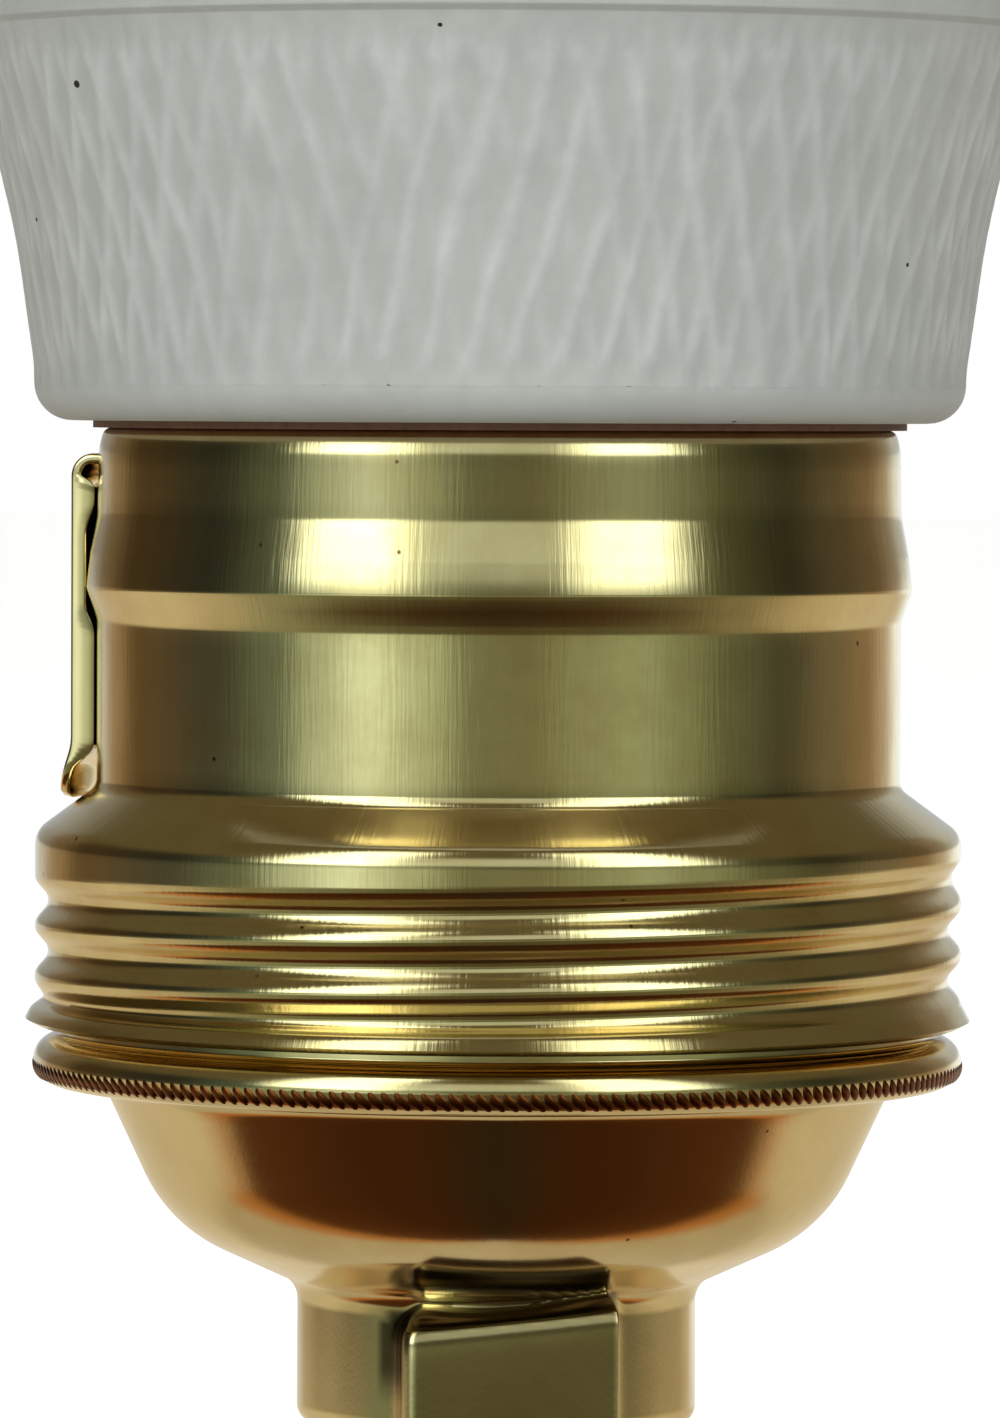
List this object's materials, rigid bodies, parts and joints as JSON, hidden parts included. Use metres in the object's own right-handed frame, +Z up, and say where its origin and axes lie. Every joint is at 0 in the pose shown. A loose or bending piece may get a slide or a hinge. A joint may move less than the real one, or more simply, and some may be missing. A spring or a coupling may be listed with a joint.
{
  "type": "lamp holder",
  "caption": "Brass lamp holder for a screw lamp, mouth up, with an unglazed porcelain guard ring, a rolled-thread shell and a domed cap on a short threaded neck.",
  "frame": {"origin": "centre of the neck's bottom face, where the stem enters", "axes": "+Z up the holder's axis to the lamp's mouth, -Y the front with the neck's pocket, -X the side with the lock leaf"},
  "size_m": [0.046, 0.046, 0.0625],
  "materials": {
    "polished_brass": "polished",
    "plain_brass": "satin",
    "bare_porcelain": "matte",
    "insert_porcelain": "satin",
    "steel": "satin",
    "fibre": "matte"
  },
  "bodies": {
    "holder_cap": {"cap": "polished_brass", "nipple_bush": "plain_brass"},
    "grub": {"grub_screw": "steel"},
    "insert": {"insert_base": "insert_porcelain", "threaded_sleeve": "plain_brass", "sleeve_screws": "steel", "sleeve_nuts": "steel", "shell_contact_screw": "steel", "centre_contact_screw": "steel", "centre_terminal": "plain_brass", "shell_terminal": "plain_brass", "insulating_liner": "fibre"},
    "contact": {"centre_contact": "plain_brass"},
    "centre_plate": {"centre_clamp_plate": "plain_brass"},
    "centre_screw": {"centre_clamp_screw": "steel"},
    "shell_plate": {"shell_clamp_plate": "plain_brass"},
    "shell_screw": {"shell_clamp_screw": "steel"},
    "shell": {"outer_shell": "polished_brass"},
    "leaf": {"lock_leaf": "polished_brass"},
    "washer": {"ring_washer": "fibre"},
    "ring": {"guard_ring": "bare_porcelain"}
  },
  "joints": [
    {"name": "insert_lift", "type": "slide", "parent": "holder_cap", "child": "insert", "axis": [0, 0, 1], "range_m": [0, 0.00645]},
    {"name": "shell_turn", "type": "hinge", "parent": "insert", "child": "shell", "pos_m": [0, 0, 0.03], "axis": [0, 0, 1], "range_deg": [0, 1080]},
    {"name": "leaf_flex", "type": "hinge", "parent": "shell", "child": "leaf", "pos_m": [-0.01647, 0.0038, 0.04078], "axis": [0.225, 0.9744, 0], "range_deg": [0, 8], "stiffness_Nm_per_rad": 0.05},
    {"name": "ring_lift", "type": "slide", "parent": "insert", "child": "washer", "axis": [0, 0, 1], "range_m": [0, 0.0117]},
    {"name": "ring_turn", "type": "hinge", "parent": "washer", "child": "ring", "pos_m": [0, 0, 0.05], "axis": [0, 0, 1], "range_deg": [0, 1152]},
    {"name": "contact_press", "type": "hinge", "parent": "insert", "child": "contact", "pos_m": [0.0055, 0, 0.0348], "axis": [0, -1, 0], "range_deg": [0, 7.5], "stiffness_Nm_per_rad": 0.03},
    {"name": "centre_plate_open", "type": "slide", "parent": "insert", "child": "centre_plate", "axis": [0, 0, -1], "range_m": [0, 0.002]},
    {"name": "centre_screw_turn", "type": "hinge", "parent": "centre_plate", "child": "centre_screw", "pos_m": [0.0085, 0, 0.016], "axis": [0, 0, -1], "range_deg": [0, 1446]},
    {"name": "shell_plate_open", "type": "slide", "parent": "insert", "child": "shell_plate", "axis": [0, 0, -1], "range_m": [0, 0.002]},
    {"name": "shell_screw_turn", "type": "hinge", "parent": "shell_plate", "child": "shell_screw", "pos_m": [-0.0083, 0, 0.016], "axis": [0, 0, -1], "range_deg": [0, 1446]},
    {"name": "grub_drive", "type": "slide", "parent": "holder_cap", "child": "grub", "axis": [0.9511, -0.309, 0], "range_m": [-0.0004, 0.0029]}
  ],
  "couplings": [
    {"joint": "insert_lift", "follows": "shell_turn", "m_per_rad": 0.00034059},
    {"joint": "ring_lift", "follows": "ring_turn", "m_per_rad": 0.00057614},
    {"joint": "centre_screw_turn", "follows": "centre_plate_open", "rad_per_m": 12566},
    {"joint": "shell_screw_turn", "follows": "shell_plate_open", "rad_per_m": 12566}
  ]
}
